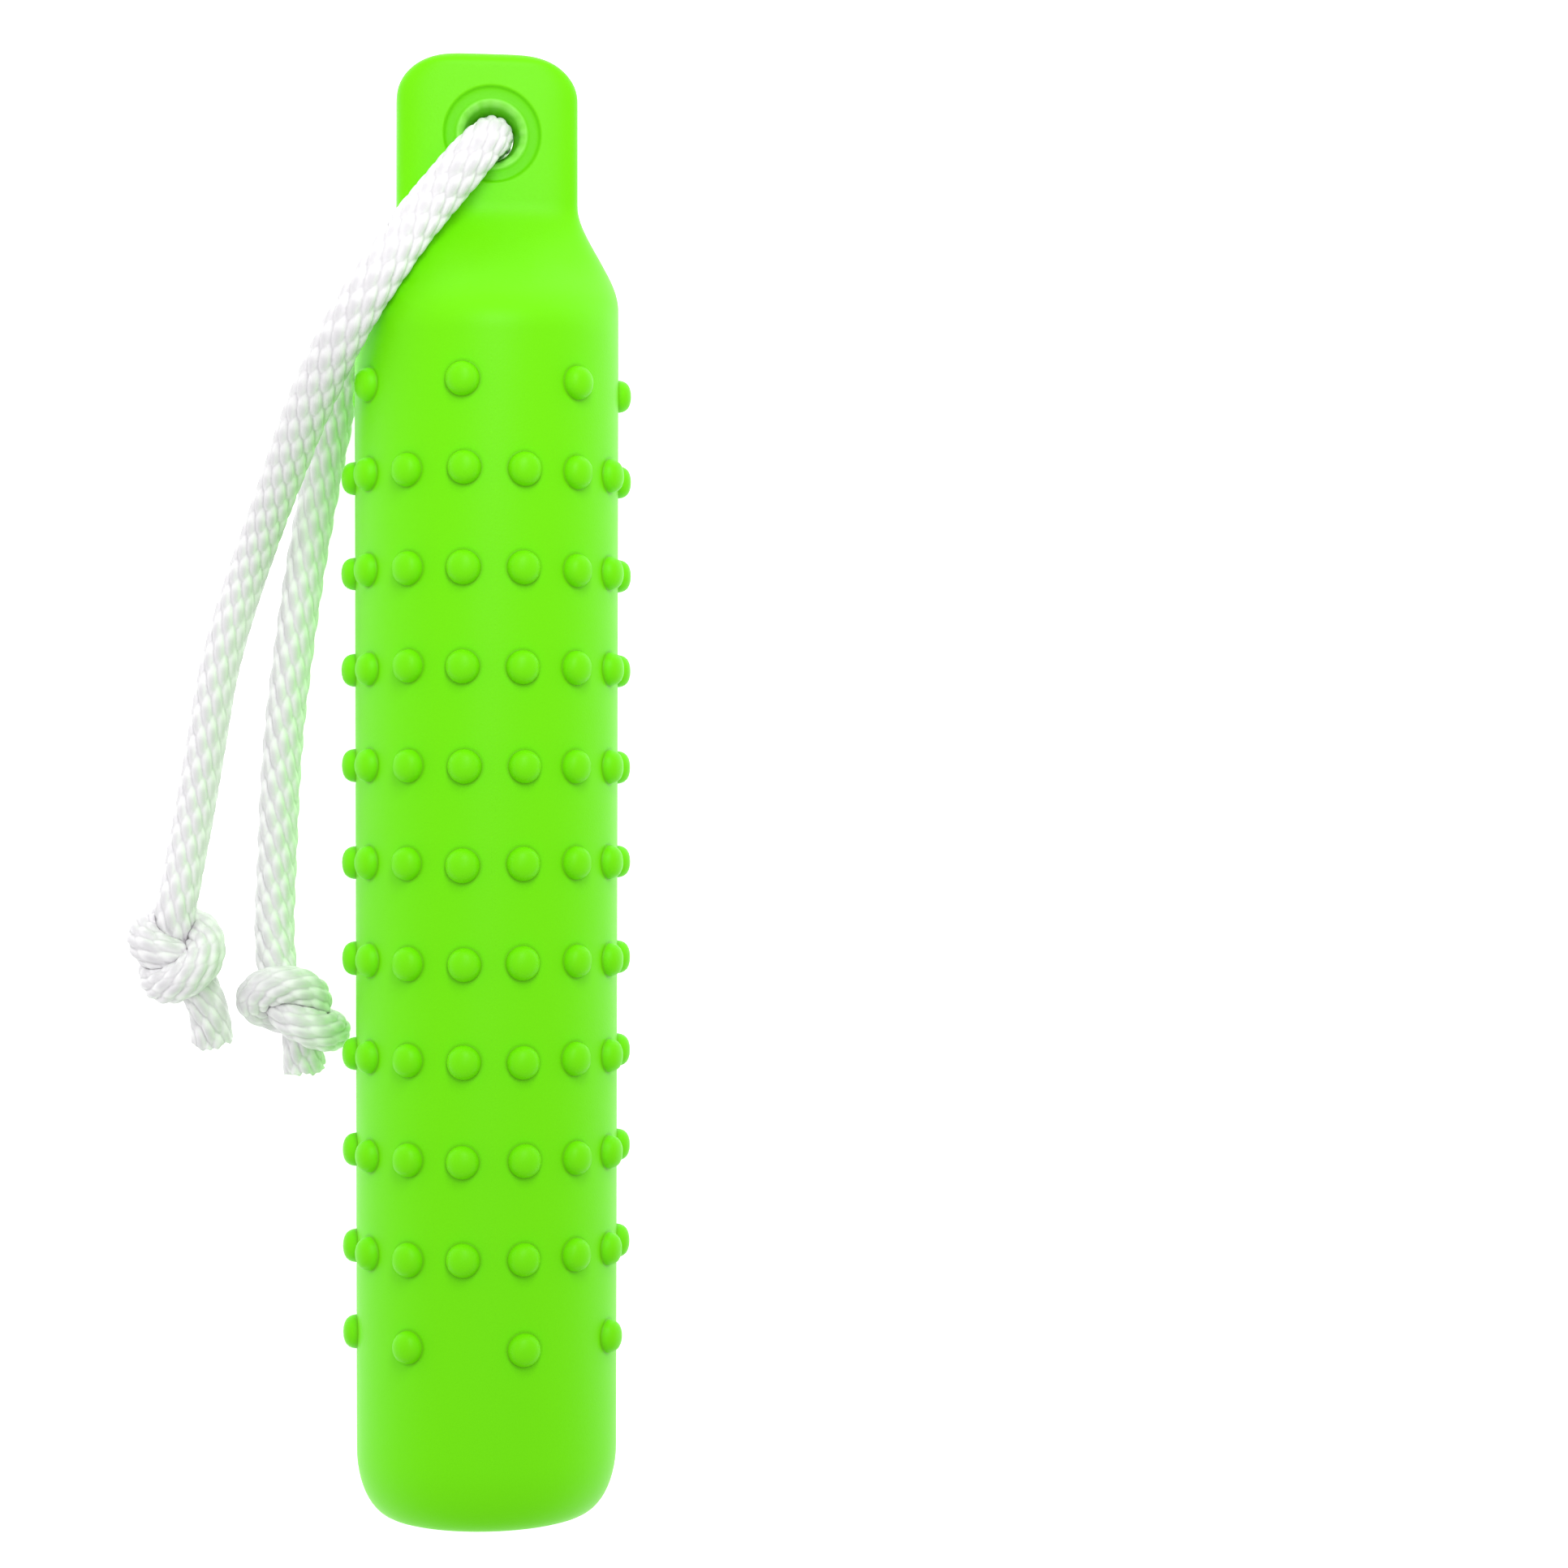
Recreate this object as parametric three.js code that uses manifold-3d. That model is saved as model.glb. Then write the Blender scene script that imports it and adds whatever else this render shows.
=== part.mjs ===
// Nubbed training bumper for a retrieving dog: a hollow moulded body with a flat tab and an eye at one end,
// a needle valve pressed into its flat base, and a throw rope through the eye, knotted at both ends.
// Millimetres, +Z up. The bumper lies on its nubs on the plane z = 0 with its long axis along Y and the tab
// towards +Y. The rope leaves both faces of the eye and lies beside the body on the -X side.
import * as THREE from "three";
import { mergeVertices } from "three/addons/utils/BufferGeometryUtils.js";
import Module from "manifold-3d";

// ---- Body ------------------------------------------------------------------------------------------------
const HALF_LENGTH = 142; // the body runs from y = -HALF_LENGTH, its base, to +HALF_LENGTH, the end of the tab
const AXIS_HEIGHT = 28.06; // body axis above the plane on which the lowest nubs rest
const BARREL_RADIUS_BASE = 25.2; // the round barrel widens a little from the base to the shoulder
const BARREL_RADIUS_SHOULDER = 25.7;
const WALL = 3;
const BODY_SIDES = 40;
const BARREL_STEPS = 3;
const SHOULDER_STEPS = 9;
const BASE_CORNER_STEPS = 5;
const TAB_CORNER_STEPS = 6;
const CUT_BEYOND = 2; // how far a cutter runs past the surface that it cuts

const BASE_CORNER_WIDTH = 7; // quarter ellipse between the flat base and the barrel
const BASE_CORNER_HEIGHT = 12.8;

const TAB_HALF_WIDTH = 17.6;
const TAB_HALF_THICKNESS = 6;
const TAB_SQUARENESS = 5; // superellipse exponent of the tab's section; 2 is a true ellipse
const TAB_CORNER_WIDTH = 11; // quarter ellipse at each corner of the tab's outline
const TAB_CORNER_HEIGHT = 8.6;
const TAB_EDGE_ROUND = 2.6; // rounding of the tab's end, across its thickness

const SHOULDER_BARREL_Y = 93; // the tab spreads to the barrel's full width between these two heights
const SHOULDER_TAB_Y = 113;
const SHOULDER_FULL_DEPTH_Y = 86; // and to its full depth between this one and SHOULDER_TAB_Y
const CAVITY_END_Y = 103; // above this the two walls are moulded together as the tab

// ---- Nubs ------------------------------------------------------------------------------------------------
const NUB_COLUMNS = 14;
const NUB_ROWS = 9; // full rows; one sparse row, with every second nub, follows at each end
const NUB_ROW_SPACING = 18.63;
const NUB_END_ROW_SPACING = 16.9;
const NUB_FIRST_ROW_Y = -89.7;
const NUB_BASE_RADIUS = 3.25;
const NUB_TIP_RADIUS = 2.1;
const NUB_HEIGHT = 2.7;
const NUB_ROOT = 1; // how far each nub's solid reaches into the wall it grows from
const NUB_SIDES = 6;

// ---- Eye in the tab --------------------------------------------------------------------------------------
const EYE = { x: 0.7, y: 126 };
const EYE_RADIUS = 5.3;
const EYE_LIP_RADIUS = 7.1; // the bevel round the hole
const EYE_LIP_DEPTH = 2.2;
const EYE_DISH_RADIUS = 9.4; // the shallow dish round the bevel, on both faces
const EYE_DISH_DEPTH = 0.6;
const EYE_DISH_FALL = 0.1; // the dish's floor falls this much from its rim to the bevel
const EYE_SIDES = 32;

// ---- Valve -----------------------------------------------------------------------------------------------
const VALVE_BORE_RADIUS = 4;
const VALVE_RECESS_RADIUS = 6;
const VALVE_RECESS_DEPTH = 1.5;
const VALVE_HEAD_SUNK = 0.4; // the head sits this far inside the base, so the body stands on its own base
const VALVE_LOCK_OVERHANG = 1.4; // the inner shoulder is this much wider than the bore
const VALVE_STEM_PAST_WALL = 5;
const VALVE_NEEDLE_RADIUS = 0.7;
const VALVE_NEEDLE_DEPTH = 3;
const VALVE_SEAT_SIDES = 24;
const VALVE_SIDES = 20;
const GAP = 0.3; // between two pieces that face each other

// ---- Rope ------------------------------------------------------------------------------------------------
const ROPE_RADIUS = 4;
const ROPE_SIDES = 10;
const ROPE_RUN_STEPS = 34;
const KNOT_SIDES = 20;
const KNOT_RINGS = 12;
const KNOT_NECK_STRAIGHT = 1.5; // the neck runs straight this far before it turns to the knot's middle
const KNOT_NECK_REACH = 0.6; // and ends inside the lump, this share of the way there
const KNOT_NECK_STEPS = 3;
const KNOT_TAIL_STEPS = 4;
const EYE_REST = { x: 1.0, y: 126.1 }; // where the rope passes through the eye, off its centre

// The run from the upper face of the eye: over the tab, over the shoulder, down to the plane and along it.
const FRONT_RUN = [
  [EYE_REST.x, EYE_REST.y, AXIS_HEIGHT + GAP / 2],
  [EYE_REST.x, EYE_REST.y, 30.6],
  [0.3, 125.2, 34.9],
  [-2.3, 122.3, 37.7],
  [-5.2, 118.7, 38.6],
  [-9.9, 113.0, 39.0],
  [-15.4, 105.7, 41.9],
  [-20.0, 98.6, 44.9],
  [-23.8, 92.8, 45.4],
  [-27.6, 86.4, 43.5],
  [-31.4, 79.4, 37.5],
  [-35.3, 71.4, 28.5],
  [-39.3, 61.7, 18.0],
  [-43.5, 51.1, 9.3],
  [-47.2, 40.9, 4.9],
  [-50.5, 30.3, 4.2],
  [-52.9, 20.5, 4.2],
  [-54.5, 10.7, 4.2],
  [-56.1, 1.0, 4.4],
  [-57.6, -8.0, 5.4],
  [-58.9, -15.0, 7.2],
  [-59.8, -20.5, 8.8],
];

// The run from the lower face of the eye: down to the plane and along it, under the shoulder and then beside
// the body.
const BACK_RUN = [
  [EYE_REST.x, EYE_REST.y, AXIS_HEIGHT - GAP / 2],
  [EYE_REST.x, EYE_REST.y, 25.4],
  [0.8, 125.7, 21.0],
  [-1.2, 122.9, 15.2],
  [-4.9, 117.6, 9.3],
  [-9.3, 111.0, 5.5],
  [-13.8, 104.2, 4.3],
  [-18.2, 97.5, 4.2],
  [-22.5, 91.0, 4.2],
  [-26.2, 84.2, 4.2],
  [-29.0, 76.2, 4.2],
  [-31.1, 66.3, 4.2],
  [-33.0, 56.5, 4.2],
  [-35.0, 45.1, 4.2],
  [-36.7, 33.6, 4.2],
  [-38.2, 22.2, 4.2],
  [-39.5, 10.8, 4.2],
  [-40.3, -0.7, 4.2],
  [-40.8, -12.1, 4.2],
  [-41.2, -22.0, 4.9],
  [-41.4, -28.0, 6.1],
  [-41.3, -31.5, 7.0],
];

// Each overhand knot is a rounded lump with the rope's neck going in and a short tail coming out.
const FRONT_KNOT = {
  centre: new THREE.Vector3(-60.3, -33.0, 9.8),
  halfSize: new THREE.Vector3(10.4, 9.2, 9.3),
  tail: [
    [-56.8, -40.0, 9.5],
    [-54.6, -44.0, 9.2],
    [-53.9, -47.4, 7.6],
    [-53.7, -50.9, 5.8],
  ],
};
const BACK_KNOT = {
  centre: new THREE.Vector3(-37.4, -45.2, 9.5),
  halfSize: new THREE.Vector3(11.5, 9.2, 9.1),
  tail: [
    [-36.6, -49.0, 9.2],
    [-35.9, -53.2, 8.0],
    [-35.4, -56.6, 6.6],
  ],
};

const moulded = (color) => new THREE.MeshStandardMaterial({ color, roughness: 0.45, metalness: 0 });
const MATERIALS = {
  body: moulded(0x77ee1c),
  valve: moulded(0x2b2e2c),
  rope: new THREE.MeshStandardMaterial({ color: 0xf2f2f2, roughness: 0.6, metalness: 0 }),
};

// ---- Solids: three.js geometry in, manifold-3d for joins and cuts, three.js geometry out -----------------
const wasm = await Module();
wasm.setup();

function toSolid(geometry) {
  const bare = geometry.clone();
  bare.deleteAttribute("normal");
  bare.deleteAttribute("uv");
  const merged = mergeVertices(bare, 1e-4);
  return new wasm.Manifold(
    new wasm.Mesh({
      numProp: 3,
      vertProperties: new Float32Array(merged.attributes.position.array),
      triVerts: new Uint32Array(merged.index.array),
    }),
  );
}

function toGeometry(solid) {
  const mesh = solid.getMesh();
  const geometry = new THREE.BufferGeometry();
  geometry.setAttribute("position", new THREE.BufferAttribute(mesh.vertProperties, 3));
  geometry.setIndex(new THREE.BufferAttribute(mesh.triVerts, 1));
  geometry.computeVertexNormals();
  return geometry;
}

const joinAll = (solids) => solids.reduce((joined, next) => joined.add(next));

// ---- Body ------------------------------------------------------------------------------------------------
const smooth = THREE.MathUtils.smoothstep;
const lerp = THREE.MathUtils.lerp;
const quarterEllipse = (t) => Math.sqrt(Math.max(0, 1 - t * t)); // 1 at t = 0, falling to 0 at t = 1

function barrelRadius(y) {
  const alongBarrel = THREE.MathUtils.clamp((y + HALF_LENGTH) / (SHOULDER_BARREL_Y + HALF_LENGTH), 0, 1);
  return lerp(BARREL_RADIUS_BASE, BARREL_RADIUS_SHOULDER, alongBarrel);
}

// Half width (x), half depth (z) and superellipse exponent of the outer surface's section at height y.
// With an inset it gives the inner surface, that far inside.
function bodySection(y, inset = 0) {
  const radius = barrelRadius(y) - inset;
  const toTab = smooth(y, SHOULDER_BARREL_Y, SHOULDER_TAB_Y);
  const toTabDepth = smooth(y, SHOULDER_FULL_DEPTH_Y, SHOULDER_TAB_Y);
  let halfWidth = lerp(radius, TAB_HALF_WIDTH - inset, toTab);
  let halfDepth = lerp(radius, TAB_HALF_THICKNESS - inset, toTabDepth);

  const cornerHeight = BASE_CORNER_HEIGHT - inset;
  const intoBase = (-(HALF_LENGTH - BASE_CORNER_HEIGHT) - y) / cornerHeight;
  if (intoBase > 0) {
    halfWidth -= BASE_CORNER_WIDTH * (1 - quarterEllipse(intoBase));
    halfDepth = halfWidth;
  }
  const intoTabCorner = (y - (HALF_LENGTH - TAB_CORNER_HEIGHT)) / TAB_CORNER_HEIGHT;
  if (intoTabCorner > 0) halfWidth -= TAB_CORNER_WIDTH * (1 - quarterEllipse(intoTabCorner));
  const intoTabEdge = (y - (HALF_LENGTH - TAB_EDGE_ROUND)) / TAB_EDGE_ROUND;
  if (intoTabEdge > 0) halfDepth -= TAB_EDGE_ROUND * (1 - quarterEllipse(intoTabEdge));

  return { halfWidth, halfDepth, exponent: lerp(2, TAB_SQUARENESS, toTab * toTab) };
}

// Even heights from just past startY up to and including endY.
const evenHeights = (startY, endY, steps) =>
  Array.from({ length: steps }, (_, k) => lerp(startY, endY, (k + 1) / steps));

// Heights of a quarter ellipse that ends square to the axis, closer together towards its end.
function cornerHeights(startY, endY, steps) {
  const step = (k) => lerp(startY, endY, Math.sin((k / steps) * (Math.PI / 2)));
  return Array.from({ length: steps }, (_, k) => step(k + 1));
}

// A closed loft through the sections at the given heights, lowest first, about the body's axis.
function loft(heights, sides, inset = 0) {
  const geometry = new THREE.CylinderGeometry(1, 1, 1, sides, heights.length - 1);
  const position = geometry.attributes.position;
  for (let i = 0; i < position.count; i++) {
    const level = Math.round((position.getY(i) + 0.5) * (heights.length - 1));
    const y = heights[level];
    const { halfWidth, halfDepth, exponent } = bodySection(y, inset);
    const power = 2 / exponent;
    const across = position.getX(i);
    const up = position.getZ(i);
    const x = halfWidth * Math.sign(across) * Math.abs(across) ** power;
    const z = halfDepth * Math.sign(up) * Math.abs(up) ** power;
    position.setXYZ(i, x, y, AXIS_HEIGHT + z);
  }
  return toSolid(geometry);
}

function outerBody() {
  const baseCornerY = -(HALF_LENGTH - BASE_CORNER_HEIGHT);
  const tabCornerY = HALF_LENGTH - TAB_CORNER_HEIGHT;
  const heights = [
    ...cornerHeights(baseCornerY, -HALF_LENGTH, BASE_CORNER_STEPS).reverse(),
    baseCornerY,
    ...evenHeights(baseCornerY, SHOULDER_FULL_DEPTH_Y, BARREL_STEPS),
    ...evenHeights(SHOULDER_FULL_DEPTH_Y, SHOULDER_TAB_Y, SHOULDER_STEPS),
    tabCornerY,
    ...cornerHeights(tabCornerY, HALF_LENGTH, TAB_CORNER_STEPS),
  ];
  return loft(heights, BODY_SIDES);
}

function cavity() {
  const baseCornerY = -(HALF_LENGTH - BASE_CORNER_HEIGHT);
  const coarser = 0.5; // the hidden inner surface has fewer faces than the outer one
  const heights = [
    ...cornerHeights(baseCornerY, -(HALF_LENGTH - WALL), Math.ceil(coarser * BASE_CORNER_STEPS)).reverse(),
    baseCornerY,
    SHOULDER_FULL_DEPTH_Y,
    ...evenHeights(SHOULDER_FULL_DEPTH_Y, CAVITY_END_Y, BARREL_STEPS),
  ];
  return loft(heights, coarser * BODY_SIDES, WALL);
}

function nub(y, angle) {
  const height = NUB_HEIGHT + NUB_ROOT;
  const geometry = new THREE.CylinderGeometry(NUB_TIP_RADIUS, NUB_BASE_RADIUS, height, NUB_SIDES);
  geometry.translate(0, barrelRadius(y) - NUB_ROOT + height / 2, 0);
  geometry.rotateX(Math.PI / 2); // now it points up, along +Z
  geometry.rotateY(angle);
  geometry.translate(0, y, AXIS_HEIGHT);
  return toSolid(geometry);
}

function nubs() {
  const lastRowY = NUB_FIRST_ROW_Y + (NUB_ROWS - 1) * NUB_ROW_SPACING;
  const sparseRows = [NUB_FIRST_ROW_Y - NUB_END_ROW_SPACING, lastRowY + NUB_END_ROW_SPACING];
  const placed = [];
  for (let column = 0; column < NUB_COLUMNS; column++) {
    const angle = -Math.PI / 2 + (column * 2 * Math.PI) / NUB_COLUMNS;
    for (let row = 0; row < NUB_ROWS; row++) {
      placed.push(nub(NUB_FIRST_ROW_Y + row * NUB_ROW_SPACING, angle));
    }
    placed.push(nub(sparseRows[column % 2], angle));
  }
  return joinAll(placed);
}

// The eye's cutter: hole, bevel and dish, the same on both faces of the tab.
function eyeCutter() {
  const dishFloor = TAB_HALF_THICKNESS - EYE_DISH_DEPTH;
  const lipFoot = dishFloor - EYE_LIP_DEPTH;
  const beyond = TAB_HALF_THICKNESS + CUT_BEYOND;
  const upperHalf = [
    [EYE_RADIUS, lipFoot],
    [EYE_LIP_RADIUS, dishFloor],
    [EYE_DISH_RADIUS, dishFloor + EYE_DISH_FALL],
    [EYE_DISH_RADIUS, beyond],
    [0, beyond],
  ];
  const lowerHalf = upperHalf.map(([radius, z]) => [radius, -z]).reverse();
  const profile = [...lowerHalf, ...upperHalf].map(([radius, z]) => new THREE.Vector2(radius, z));
  const geometry = new THREE.LatheGeometry(profile, EYE_SIDES);
  geometry.rotateX(Math.PI / 2);
  geometry.translate(EYE.x, EYE.y, AXIS_HEIGHT);
  return toSolid(geometry);
}

// A solid of revolution about the body's axis from [radius, y] points, listed from low y to high y.
function turnedOnAxis(points, sides) {
  const geometry = new THREE.LatheGeometry(points.map(([radius, y]) => new THREE.Vector2(radius, y)), sides);
  geometry.translate(0, 0, AXIS_HEIGHT);
  return toSolid(geometry);
}

function valveSeatCutter() {
  const recessFloor = -HALF_LENGTH + VALVE_RECESS_DEPTH;
  const outside = -HALF_LENGTH - CUT_BEYOND;
  const inside = -HALF_LENGTH + WALL + CUT_BEYOND;
  return turnedOnAxis(
    [
      [0, outside],
      [VALVE_RECESS_RADIUS, outside],
      [VALVE_RECESS_RADIUS, recessFloor],
      [VALVE_BORE_RADIUS, recessFloor],
      [VALVE_BORE_RADIUS, inside],
      [0, inside],
    ],
    VALVE_SEAT_SIDES,
  );
}

function bumperBody() {
  const shell = outerBody().add(nubs()).subtract(cavity());
  return shell.subtract(eyeCutter()).subtract(valveSeatCutter());
}

// Rubber plug: a flat head in the recess, a stem through the wall, a wider shoulder that locks it inside,
// and the blind needle hole.
function needleValve() {
  const headFace = -HALF_LENGTH + VALVE_HEAD_SUNK;
  const headBack = -HALF_LENGTH + VALVE_RECESS_DEPTH - GAP;
  const innerWall = -HALF_LENGTH + WALL;
  const stemRadius = VALVE_BORE_RADIUS - GAP;
  return turnedOnAxis(
    [
      [0, headFace + VALVE_NEEDLE_DEPTH],
      [VALVE_NEEDLE_RADIUS, headFace + VALVE_NEEDLE_DEPTH],
      [VALVE_NEEDLE_RADIUS, headFace],
      [VALVE_RECESS_RADIUS - GAP, headFace],
      [VALVE_RECESS_RADIUS - GAP, headBack],
      [stemRadius, headBack],
      [stemRadius, innerWall + GAP],
      [VALVE_BORE_RADIUS + VALVE_LOCK_OVERHANG, innerWall + GAP],
      [stemRadius, innerWall + VALVE_STEM_PAST_WALL],
      [0, innerWall + VALVE_STEM_PAST_WALL],
    ],
    VALVE_SIDES,
  );
}

// ---- Rope ------------------------------------------------------------------------------------------------
const routePoints = (points) => points.map(([x, y, z]) => new THREE.Vector3(x, y, z));

function ropeTube(points, steps) {
  const section = new THREE.Shape();
  for (let side = 0; side < ROPE_SIDES; side++) {
    const angle = ((side + 0.5) * 2 * Math.PI) / ROPE_SIDES;
    const [x, y] = [ROPE_RADIUS * Math.cos(angle), ROPE_RADIUS * Math.sin(angle)];
    if (side === 0) section.moveTo(x, y);
    else section.lineTo(x, y);
  }
  section.closePath();
  const extrudePath = new THREE.CatmullRomCurve3(points, false, "centripetal");
  return toSolid(new THREE.ExtrudeGeometry(section, { steps, extrudePath, bevelEnabled: false }));
}

const ropeRun = (route) => ropeTube(routePoints(route), ROPE_RUN_STEPS);

// The knot's neck carries on from the end of its run, in the same direction.
function overhandKnot(knot, route) {
  const [beforeEnd, end] = routePoints(route.slice(-2));
  const heading = end.clone().sub(beforeEnd).normalize();
  const neckStart = end.clone().addScaledVector(heading, GAP);
  const neckMiddle = neckStart.clone().addScaledVector(heading, KNOT_NECK_STRAIGHT);
  const neckEnd = neckStart.clone().lerp(knot.centre, KNOT_NECK_REACH);
  const lump = new THREE.SphereGeometry(1, KNOT_SIDES, KNOT_RINGS);
  lump.scale(knot.halfSize.x, knot.halfSize.y, knot.halfSize.z);
  lump.translate(knot.centre.x, knot.centre.y, knot.centre.z);
  return joinAll([
    toSolid(lump),
    ropeTube([neckStart, neckMiddle, neckEnd], KNOT_NECK_STEPS),
    ropeTube(routePoints(knot.tail), KNOT_TAIL_STEPS),
  ]);
}

// ---- Assembly --------------------------------------------------------------------------------------------
const PIECES = [
  ["bumper_body", MATERIALS.body, bumperBody()],
  ["needle_valve", MATERIALS.valve, needleValve()],
  ["rope_front_run", MATERIALS.rope, ropeRun(FRONT_RUN)],
  ["rope_front_knot", MATERIALS.rope, overhandKnot(FRONT_KNOT, FRONT_RUN)],
  ["rope_back_run", MATERIALS.rope, ropeRun(BACK_RUN)],
  ["rope_back_knot", MATERIALS.rope, overhandKnot(BACK_KNOT, BACK_RUN)],
];

const bumper = new THREE.Group();
for (const [name, material, solid] of PIECES) {
  const mesh = new THREE.Mesh(toGeometry(solid), material);
  mesh.name = name;
  bumper.add(mesh);
}

export default bumper;
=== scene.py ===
"""Nubbed training bumper with its throw rope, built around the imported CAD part. Metres, +Z up.

The bumper lies on its nubs on the floor with its long axis along Y and the tab towards +Y. The rope is made
as two cords that meet in the eye of the tab, and each ends in a tied overhand knot and a cut tail.
"""
import math

import bpy
import numpy as np
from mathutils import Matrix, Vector


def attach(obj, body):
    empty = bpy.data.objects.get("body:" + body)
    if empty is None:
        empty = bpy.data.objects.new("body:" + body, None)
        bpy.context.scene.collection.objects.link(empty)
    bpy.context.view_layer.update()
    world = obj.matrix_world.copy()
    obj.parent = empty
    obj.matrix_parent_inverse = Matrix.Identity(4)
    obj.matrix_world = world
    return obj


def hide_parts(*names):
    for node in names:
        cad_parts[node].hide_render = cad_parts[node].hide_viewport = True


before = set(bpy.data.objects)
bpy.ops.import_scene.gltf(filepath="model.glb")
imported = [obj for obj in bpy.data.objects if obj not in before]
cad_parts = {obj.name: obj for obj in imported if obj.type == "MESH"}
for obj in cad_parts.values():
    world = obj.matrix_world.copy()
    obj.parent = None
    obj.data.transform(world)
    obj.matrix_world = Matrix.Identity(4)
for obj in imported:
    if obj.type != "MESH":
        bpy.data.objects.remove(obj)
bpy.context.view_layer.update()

MM = 0.001  # the sizes below are in millimetres, and meshes are scaled by this as they are made
rng = np.random.default_rng(7)

# ---- Body: the same dimensions as the CAD body ---------------------------------------------------
HALF_LENGTH = 142.0
AXIS_HEIGHT = 28.06
BARREL_RADIUS_BASE = 25.2
BARREL_RADIUS_SHOULDER = 25.7
WALL = 3.0
BASE_CORNER_WIDTH = 7.0
BASE_CORNER_HEIGHT = 12.8
TAB_HALF_WIDTH = 17.6
TAB_HALF_THICKNESS = 6.0
TAB_SQUARENESS = 5.0
TAB_CORNER_WIDTH = 11.0
TAB_CORNER_HEIGHT = 8.6
TAB_EDGE_ROUND = 2.6
SHOULDER_BARREL_Y = 93.0
SHOULDER_TAB_Y = 113.0
SHOULDER_FULL_DEPTH_Y = 86.0
CAVITY_END_Y = 103.0

NUB_COLUMNS = 14
NUB_ROWS = 9
NUB_ROW_SPACING = 18.63
NUB_END_ROW_SPACING = 16.9
NUB_FIRST_ROW_Y = -89.7
NUB_RADIUS = 3.25

EYE = np.array([0.7, 126.0])

VALVE_BORE_RADIUS = 4.0
VALVE_RECESS_RADIUS = 6.0
VALVE_RECESS_DEPTH = 1.5
VALVE_HEAD_SUNK = 0.4
GAP = 0.3  # between the valve and the body
EDGE_BREAK = 0.05  # small rounding of the valve's and its seat's corners

# ---- Rope ----------------------------------------------------------------------------------------
ROPE_DIAMETER = 8.0
ROPE_RADIUS = ROPE_DIAMETER / 2
FRONT_RUN = [
    (1.0, 126.1, 28.21), (1.0, 126.1, 30.6), (0.3, 125.2, 34.9), (-2.3, 122.3, 37.7), (-5.2, 118.7, 38.6),
    (-9.9, 113.0, 39.0), (-15.4, 105.7, 41.9), (-20.0, 98.6, 44.9), (-23.8, 92.8, 45.4), (-27.6, 86.4, 43.5),
    (-31.4, 79.4, 37.5), (-35.3, 71.4, 28.5), (-39.3, 61.7, 18.0), (-43.5, 51.1, 9.3), (-47.2, 40.9, 4.9),
    (-50.5, 30.3, 4.2), (-52.9, 20.5, 4.2), (-54.5, 10.7, 4.2), (-56.1, 1.0, 4.4), (-57.6, -8.0, 5.4),
    (-58.9, -15.0, 7.2), (-59.8, -20.5, 8.8),
]
BACK_RUN = [
    (1.0, 126.1, 27.91), (1.0, 126.1, 25.4), (0.8, 125.7, 21.0), (-1.2, 122.9, 15.2), (-4.9, 117.6, 9.3),
    (-9.3, 111.0, 5.5), (-13.8, 104.2, 4.3), (-18.2, 97.5, 4.2), (-22.5, 91.0, 4.2), (-26.2, 84.2, 4.2),
    (-29.0, 76.2, 4.2), (-31.1, 66.3, 4.2), (-33.0, 56.5, 4.2), (-35.0, 45.1, 4.2), (-36.7, 33.6, 4.2),
    (-38.2, 22.2, 4.2), (-39.5, 10.8, 4.2), (-40.3, -0.7, 4.2), (-40.8, -12.1, 4.2), (-41.2, -22.0, 4.9),
    (-41.4, -28.0, 6.1), (-41.3, -31.5, 7.0),
]
# Each knot: its middle, its roll about the rope and its turn on the floor in degrees, its size across and
# along the rope as shares of the tied one, and its tail's last points.
FRONT_KNOT = {
    "centre": (-60.3, -33.1, 9.4),
    "roll": 0,
    "turn": 18,
    "across": 1.07,
    "along": 0.93,
    "tail": [(-54.6, -44.0, 9.2), (-53.9, -47.4, 7.6), (-53.7, -50.9, 5.8)],
}
BACK_KNOT = {
    "centre": (-37.4, -45.2, 9.4),
    "roll": 240,
    "turn": 16,
    "across": 1.08,
    "along": 1.0,
    "tail": [(-35.9, -53.2, 8.0), (-35.4, -56.6, 6.6)],
}
FRONT_LENGTH = 0.270  # metres, along the centreline, knot and tail included
BACK_LENGTH = 0.261
FLATTENED_STRETCH = (5, 110)  # from and to, along the front half, where it lies on the tab and the shoulder
FLATTENED_SPREAD = 0.13  # how much wider it is there, as a share
PATH_SPACING = 0.32  # between the rings of a cord
CORD_SIDES = 84


def new_mesh(name, vertices, faces, attributes=None, smooth=True):
    """A mesh object from points in millimetres, quads or triangles, and per-vertex numbers by name."""
    mesh = bpy.data.meshes.new(name)
    mesh.from_pydata((np.asarray(vertices) * MM).tolist(), [], faces)
    mesh.update()
    mesh.validate()
    for key, values in (attributes or {}).items():
        values = np.asarray(values, np.float32)
        kind = "FLOAT_VECTOR" if values.ndim == 2 else "FLOAT"
        attribute = mesh.attributes.new(key, kind, "POINT")
        attribute.data.foreach_set("vector" if values.ndim == 2 else "value", values.ravel())
    mesh.polygons.foreach_set("use_smooth", [smooth] * len(mesh.polygons))
    piece = bpy.data.objects.new(name, mesh)
    bpy.context.scene.collection.objects.link(piece)
    return piece


# ---- Camera --------------------------------------------------------------------------------------
def add_camera():
    camera = bpy.data.objects.new("camera", bpy.data.cameras.new("camera"))
    camera.data.lens = 74.66
    camera.data.sensor_width = 36.0
    camera.location = (-0.0317, 0.0, 0.66592)
    camera.rotation_euler = (0.0, math.radians(-8.0634), 0.0)
    bpy.context.scene.collection.objects.link(camera)
    bpy.context.scene.camera = camera


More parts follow.
